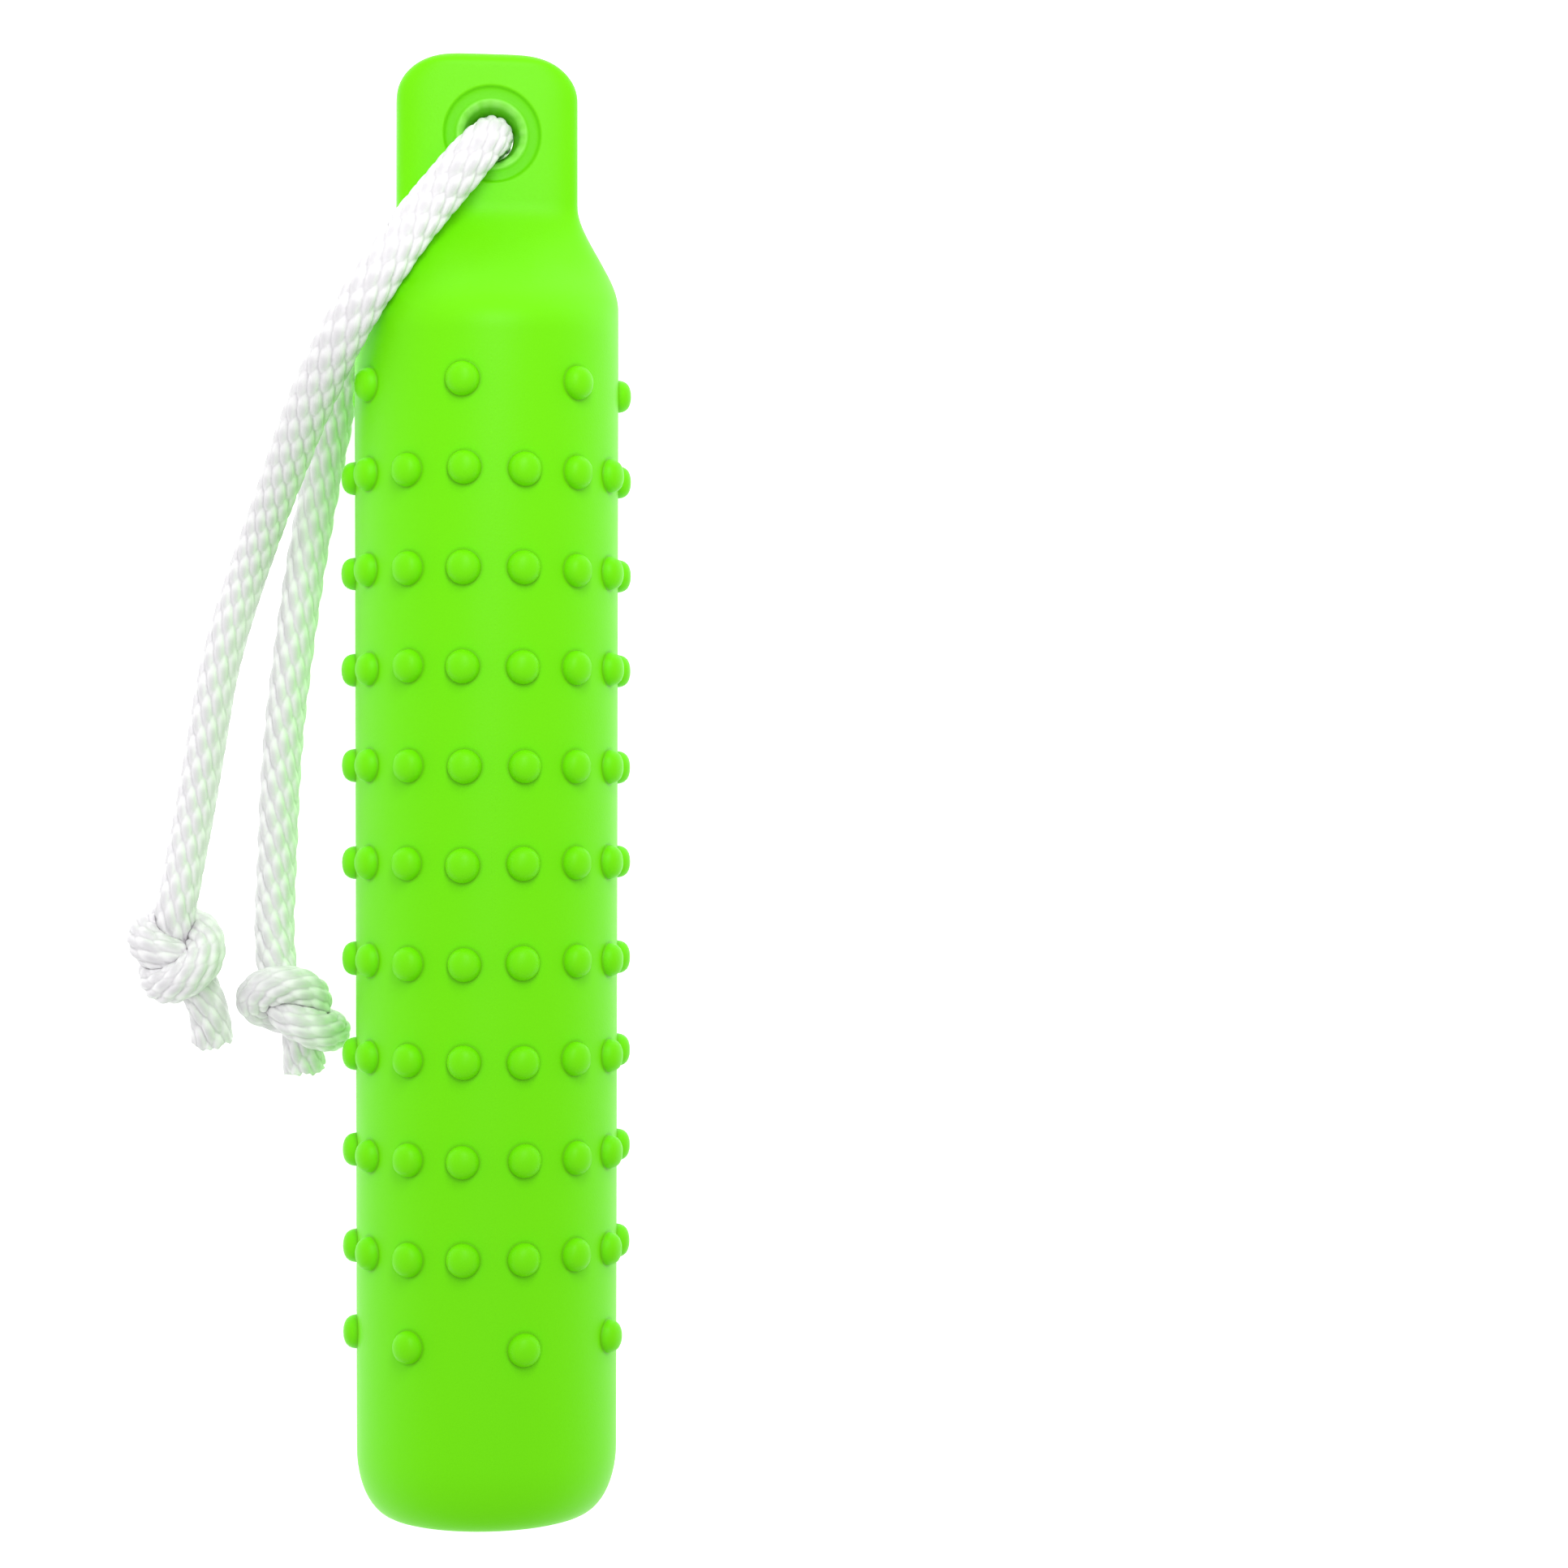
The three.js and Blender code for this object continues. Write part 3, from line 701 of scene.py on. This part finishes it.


def add_nub_cell(draft, block, grid_points, column_angle, y):
    """Fills one block of the barrel's grid with rings that close on a nub's circle and rise over its dome."""
    edge = boundary_of(block)
    count = len(edge)
    outer = grid_points[edge]
    slip = rng.uniform(-0.22, 0.22, 2)
    radius = NUB_RADIUS * rng.uniform(0.975, 1.025)
    tall = rng.uniform(0.96, 1.0)
    centre_y, centre_angle = y + slip[1], column_angle + slip[0] / barrel_radius(y)
    outward = np.array([math.sin(centre_angle), 0.0, math.cos(centre_angle)])
    turn = -0.75 * math.pi + np.arange(count) * 2 * math.pi / count

    def on_wall(share):
        a, dy = radius * share * np.cos(turn), radius * share * np.sin(turn)
        wall = barrel_radius(centre_y + dy)
        angle = centre_angle + a / wall
        return np.stack([wall * np.sin(angle), centre_y + dy, AXIS_HEIGHT + wall * np.cos(angle)], axis=1)

    previous = edge
    start = on_wall(NUB_PROFILE[0][0] + 0.12)
    for share in (0.3, 0.62, 0.86, 1.0):
        row = outer + (start - outer) * share
        flat = row[:, [0, 2]] - [0, AXIS_HEIGHT]
        flat /= np.linalg.norm(flat, axis=1, keepdims=True)
        row[:, [0, 2]] = flat * barrel_radius(row[:, 1])[:, None] + [0, AXIS_HEIGHT]
        current = draft.add(row)
        draft.band(previous, current)
        previous = current
    for share, height in NUB_PROFILE:
        # painted shade at the nub's foot
        contact = NUB_FOOT_SHADE.get(share, 0.0)
        current = draft.add(on_wall(share) + outward * height * tall, contact=contact)
        draft.band(previous, current)
        previous = current
    crown = barrel_radius(centre_y) + NUB_TOP * tall
    top = draft.add(np.array([0, centre_y, AXIS_HEIGHT]) + outward * crown)
    draft.fan(previous, top[0])


EYE_PROFILE = [  # radius, depth below the face, painted shade in the dish and hole, the lip's burr and its painted highlight; the last row is halfway through the tab
    (9.75, 0.00, 0.0, 0.0), (9.45, 0.03, 0.6, 0.0), (9.25, 0.24, 1.0, 0.0), (9.05, 0.44, 1.0, 0.0),
    (8.8, 0.52, 0.8, 0.0), (8.2, 0.55, 0.8, 0.0), (7.5, 0.56, 0.8, 0.0), (7.1, 0.54, 0.9, 0.1),
    (6.85, 0.40, 0.5, 0.5), (6.6, 0.36, 0.2, 0.9), (6.3, 0.55, 0.0, 1.0), (5.9, 0.85, 0.0, 1.0),
    (5.55, 1.25, 0.2, 0.8), (5.35, 1.75, 0.1, 0.4), (5.2, 2.5, 0.1, 0.2),
    (4.85, 3.8, 0.2, 0.1), (4.5, 5.0, 0.3, 0.0), (4.4, 5.95, 0.4, 0.0),
]


def add_eye(draft, top_block, bottom_block, grid_points):
    """The eye: on each face, rings close in from the grid to the shallow recessed ring, the trimmed lip and
    the wall.
    """
    middle = None
    for block, side in ((top_block, 1.0), (bottom_block, -1.0)):
        edge = boundary_of(block)
        outer = grid_points[edge]
        turn = -0.75 * math.pi + np.arange(len(edge)) * 2 * math.pi / len(edge)
        circle = np.stack([np.cos(turn), np.sin(turn)], axis=1)

        def face_height(xy):
            heights = []
            for x, y in xy:
                a, b, n = body_section(y)
                heights.append(b * max(0.0, 1 - (abs(x) / a) ** n) ** (1 / n))
            return np.array(heights)

        def add_ring(previous, xy, depth, **numbers):
            rows = np.column_stack([xy, AXIS_HEIGHT + side * (face_height(xy) - depth)])
            current = draft.add(rows, **numbers)
            if side > 0:
                draft.band(previous, current)
            else:
                draft.band(current, previous)
            return current

        previous = edge
        start = EYE + circle * (EYE_PROFILE[0][0] + 0.25)
        for share in (0.35, 0.7, 1.0):
            previous = add_ring(previous, outer[:, :2] + (start - outer[:, :2]) * share, 0.0)
        burr = 0.5 + 0.5 * np.sin(turn * 11 + 2 * np.sin(3 * turn)) * np.sin(turn * 5 + side)
        # painted shade: darker in the eye's dish and down its wall
        for radius, depth, dish, flash in EYE_PROFILE[:-1]:
            rough = burr * flash
            reach = radius - 0.22 * (rough - 0.5 * flash)
            ring = EYE + circle * reach[:, None]
            # painted highlight: a paler ragged ring on the eye's lip, following its modelled burr
            lip = flash * (0.55 + 0.45 * burr)
            previous = add_ring(previous, ring, depth - 0.18 * rough, dish=dish, flash=lip)
        if side > 0:
            radius, _, dish, _ = EYE_PROFILE[-1]
            rows = np.column_stack([EYE + circle * radius, np.full(len(turn), AXIS_HEIGHT)])
            middle = draft.add(rows, dish=dish)
            draft.band(previous, middle)
        else:
            draft.band(middle, previous)


def spaced(low, high, count):
    """count heights from just after low up to and including high."""
    return [low + (high - low) * (k + 1) / count for k in range(count)]


def corner_heights(start, end, steps, first_share=0.0):
    """Heights of a quarter ellipse that ends square to the axis, closer together towards its end."""
    low = math.asin(first_share)
    turns = [low + (math.pi / 2 - low) * (k + 1) / steps for k in range(steps)]
    return [start + (end - start) * math.sin(turn) for turn in turns]


def build_body():
    draft = MeshDraft(("contact", "dish", "flash"))
    base_corner_y = -(HALF_LENGTH - BASE_CORNER_HEIGHT)
    tab_corner_y = HALF_LENGTH - TAB_CORNER_HEIGHT
    half_row = NUB_ROW_SPACING / 2
    rows_start = NUB_FIRST_ROW_Y - half_row
    rows_end = NUB_FIRST_ROW_Y + (NUB_ROWS - 1) * NUB_ROW_SPACING + half_row
    half_end_row = NUB_END_ROW_SPACING - half_row
    cells_start, cells_end = rows_start - 2 * half_end_row, rows_end + 2 * half_end_row

    heights = corner_heights(base_corner_y, -HALF_LENGTH, 14)[::-1] + [base_corner_y]
    heights += spaced(base_corner_y, cells_start, 6)
    first_cell = len(heights) - 1
    row_centres = [NUB_FIRST_ROW_Y - NUB_END_ROW_SPACING]
    heights += spaced(cells_start, rows_start, 8)
    for row in range(NUB_ROWS):
        row_centres.append(NUB_FIRST_ROW_Y + row * NUB_ROW_SPACING)
        heights += spaced(rows_start + row * NUB_ROW_SPACING, rows_start + (row + 1) * NUB_ROW_SPACING, 8)
    row_centres.append(row_centres[-1] + NUB_END_ROW_SPACING)
    heights += spaced(rows_end, cells_end, 8)
    eye_low, eye_high, eye_steps = EYE[1] - 11.75, EYE[1] + 11.75, 30
    heights += spaced(cells_end, SHOULDER_TAB_Y, 34) + spaced(SHOULDER_TAB_Y, eye_low, 2)
    first_eye = len(heights) - 1
    heights += spaced(eye_low, eye_high, eye_steps)
    corner_share = (eye_high - tab_corner_y) / TAB_CORNER_HEIGHT
    heights += corner_heights(tab_corner_y, HALF_LENGTH, 16, corner_share)

    grid_points = np.stack([section_ring(y) for y in heights])
    grid = draft.add(grid_points).reshape(len(heights), SIDES)
    flat_points = grid_points.reshape(-1, 3)
    filled = np.zeros((len(heights) - 1, SIDES), bool)

    for cell_row, y in enumerate(row_centres):
        sparse = cell_row in (0, len(row_centres) - 1)
        wanted_parity = 0 if cell_row == 0 else 1
        for column in range(NUB_COLUMNS):
            if sparse and column % 2 != wanted_parity:
                continue
            low = first_cell + 8 * cell_row
            around = (8 * column - 4 + np.arange(9)) % SIDES
            block = grid[low : low + 9][:, around]
            angle = -math.pi / 2 + column * 2 * math.pi / NUB_COLUMNS
            add_nub_cell(draft, block, flat_points, angle, y)
            filled[low : low + 8, around[:-1]] = True

    half_block = eye_steps // 2
    rows = slice(first_eye, first_eye + eye_steps + 1)
    top_columns = QUADRANT - half_block + np.arange(eye_steps + 1)
    bottom_columns = (3 * QUADRANT + half_block - np.arange(eye_steps + 1)) % SIDES
    add_eye(draft, grid[rows][:, top_columns], grid[rows][:, bottom_columns], flat_points)
    filled[first_eye : first_eye + eye_steps, top_columns[:-1]] = True
    filled[first_eye : first_eye + eye_steps, bottom_columns[1:]] = True

    for row in range(len(heights) - 1):
        for side in range(SIDES):
            if not filled[row, side]:
                nxt = (side + 1) % SIDES
                quad = grid[[row, row, row + 1, row + 1], [side, nxt, nxt, side]]
                draft.faces.append(quad.tolist())

    # The tab's end face.
    last = grid[-1]
    middle = np.array([0.0, HALF_LENGTH, AXIS_HEIGHT])
    for share in (0.8, 0.5, 0.2):
        current = draft.add(middle + (flat_points[grid[-1]] - middle) * share)
        draft.band(last, current)
        last = current
    draft.fan(last, draft.add(middle)[0])

    # The base, the valve's seat and the inside of the hollow, walked from the base's rim inwards.
    turn = np.arange(SIDES) * 2 * math.pi / SIDES
    circle = np.stack([-np.cos(turn), np.zeros(SIDES), np.sin(turn)], axis=1)

    def inner_ring(radius, y):
        return np.array([0, y, AXIS_HEIGHT]) + circle * radius

    base_y = -HALF_LENGTH
    floor_y = base_y + VALVE_RECESS_DEPTH
    inside_y = base_y + WALL
    recess, bore, edge = VALVE_RECESS_RADIUS, VALVE_BORE_RADIUS, EDGE_BREAK
    seat = [  # radius, height, painted shade in the valve's recess and bore
        (14.0, base_y, 0), (9.5, base_y, 0), (recess + 0.5, base_y, 0.2), (recess + 0.12, base_y + 0.08, 0.8),
        (recess, base_y + 0.3, 1.0), (recess, floor_y - edge, 1.0), (recess - edge, floor_y, 1.0),
        (bore + edge, floor_y, 1.0), (bore, floor_y + edge, 1.0), (bore, inside_y - edge, 1.0),
        (bore + edge, inside_y, 0), (9.0, inside_y, 0), (13.0, inside_y, 0),
    ]
    previous = grid[0]
    # painted shade: darker in the valve's recess and bore
    for radius, y, dish in seat:
        current = draft.add(inner_ring(radius, y), dish=dish)
        draft.band(current, previous)
        previous = current
    inside = corner_heights(base_corner_y, inside_y, 8)[::-1] + [base_corner_y]
    inside += spaced(base_corner_y, SHOULDER_FULL_DEPTH_Y, 12)
    inside += spaced(SHOULDER_FULL_DEPTH_Y, CAVITY_END_Y, 8)
    for y in inside:
        current = draft.add(section_ring(y, WALL))
        draft.band(current, previous)
        previous = current
    draft.fan(previous, draft.add(np.array([0, CAVITY_END_Y, AXIS_HEIGHT]))[0], facing_base=True)

    body = draft.finish("bumper_body_moulding")
    body.data.materials.append(vinyl_material())
    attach(body, "bumper")
    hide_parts("bumper_body")
    return body


# ---- Valve ---------------------------------------------------------------------------------------
def build_valve():
    """A rubber needle valve: a slightly domed head with a rounded rim, a moulded ring and a needle hole."""
    face, back = -HALF_LENGTH + VALVE_HEAD_SUNK, -HALF_LENGTH + VALVE_RECESS_DEPTH - GAP
    head, stem, needle, edge = VALVE_RECESS_RADIUS - GAP, VALVE_BORE_RADIUS - GAP, 0.7, EDGE_BREAK
    flange, flange_y = VALVE_BORE_RADIUS + 1.3, -HALF_LENGTH + WALL + GAP
    plug_end = -HALF_LENGTH + WALL + 5.0
    profile = [  # radius, height: the needle hole, the head's face with its ring, its rim, stem and flange
        (needle, face + 3.0), (needle, face + 0.55), (needle + 0.12, face + 0.3),
        (needle + 0.35, face + 0.16), (1.6, face + 0.12), (2.1, face + 0.10), (2.3, face + 0.02),
        (2.5, face - 0.02), (2.7, face + 0.02), (2.9, face + 0.10), (3.6, face + 0.09), (4.4, face + 0.05),
        (5.0, face), (5.3, face + 0.02), (5.5, face + 0.10), (5.62, face + 0.22), (head, face + 0.38),
        (head, back - 0.06), (head - 0.06, back), (stem + edge, back), (stem, back + edge),
        (stem, flange_y - edge), (stem + edge, flange_y),
        (flange, flange_y), (flange + 0.1, flange_y + 0.1), (flange, flange_y + 0.6),
        (stem + 0.1, plug_end - 0.2), (stem - 0.4, plug_end), (1.5, plug_end),
    ]
    sides = 72
    turn = np.arange(sides) * 2 * math.pi / sides
    draft = MeshDraft(())
    circle = np.stack([-np.cos(turn), np.zeros(sides), np.sin(turn)], axis=1)
    previous = None
    for radius, y in profile:
        current = draft.add(np.array([0, y, AXIS_HEIGHT]) + circle * radius)
        if previous is None:
            draft.fan(current, draft.add([[0, y, AXIS_HEIGHT]])[0], facing_base=True)
        else:
            draft.band(previous, current)
        previous = current
    draft.fan(previous, draft.add([[0, profile[-1][1], AXIS_HEIGHT]])[0])
    valve = draft.finish("needle_valve_rubber")
    valve.data.materials.append(rubber_material())
    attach(valve, "bumper")
    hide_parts("needle_valve")
    return valve


# ---- Rope pieces ---------------------------------------------------------------------------------
def build_rope():
    overhand, lump = tied_overhand(ROPE_DIAMETER)
    fibre = rope_material()
    for half, run, knot, length in (
        ("front", FRONT_RUN, FRONT_KNOT, FRONT_LENGTH),
        ("back", BACK_RUN, BACK_KNOT, BACK_LENGTH),
    ):
        path = knotted_path(run, knot, overhand, lump)
        flattened = FLATTENED_STRETCH if half == "front" else None
        cord = braided_cord(f"rope_{half}_half", path, (1.0, 0.0, 0.0), flattened)
        cord.data.materials.append(fibre)
        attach(cord, "rope")
        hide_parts(f"rope_{half}_run", f"rope_{half}_knot")


# ---- Floor and light -----------------------------------------------------------------------------
def build_floor():
    half = 3000.0
    corners = [(-half, -half, 0), (half, -half, 0), (half, half, 0), (-half, half, 0)]
    floor = new_mesh("floor", corners, [(0, 1, 2, 3)], smooth=False)
    material, nodes, links, shader = new_material("floor_paper")
    grain = noise_node(nodes, links, object_coordinates(nodes), 400.0, 3.0).outputs["Fac"]
    paper = mix_colour(nodes, links, grain, (0.90, 0.90, 0.90), (0.93, 0.93, 0.93))
    links.new(paper, shader.inputs["Base Color"])
    shader.inputs["Roughness"].default_value = 0.9
    shader.inputs["Specular IOR Level"].default_value = 0.2
    shader.inputs["Emission Color"].default_value = (1.0, 1.0, 1.0, 1.0)
    shader.inputs["Emission Strength"].default_value = 0.68
    floor.data.materials.append(material)


def add_softbox(name, location, target, size, power):
    light = bpy.data.lights.new(name, "AREA")
    light.shape = "RECTANGLE"
    light.size, light.size_y = size
    light.energy = power
    lamp = bpy.data.objects.new(name, light)
    lamp.location = location
    direction = np.array(target) - np.array(location)
    lamp.rotation_euler = Vector(direction).to_track_quat("-Z", "Y").to_euler()
    bpy.context.scene.collection.objects.link(lamp)


def light_scene():
    world = bpy.data.worlds.new("studio")
    world.use_nodes = True
    background = world.node_tree.nodes["Background"]
    background.inputs["Color"].default_value = (1.0, 1.0, 1.0, 1.0)
    background.inputs["Strength"].default_value = 0.67
    bpy.context.scene.world = world
    add_softbox("softbox_key", (0.04, 0.34, 0.45), (0.0, 0.10, 0.03), (0.16, 0.30), 1.10)
    add_softbox("striplight_overhead", (0.03, 0.15, 0.80), (0.0, 0.13, 0.03), (0.06, 0.5), 0.70)
    add_softbox("softbox_left", (-0.50, 0.05, 0.16), (-0.03, 0.03, 0.03), (1.1, 0.14), 0.28)
    add_softbox("softbox_right", (0.50, 0.10, 0.12), (0.0, 0.05, 0.03), (1.1, 0.14), 0.12)
    bpy.context.scene.view_settings.view_transform = "Standard"


add_camera()
build_rope()
build_body()
build_valve()
build_floor()
light_scene()
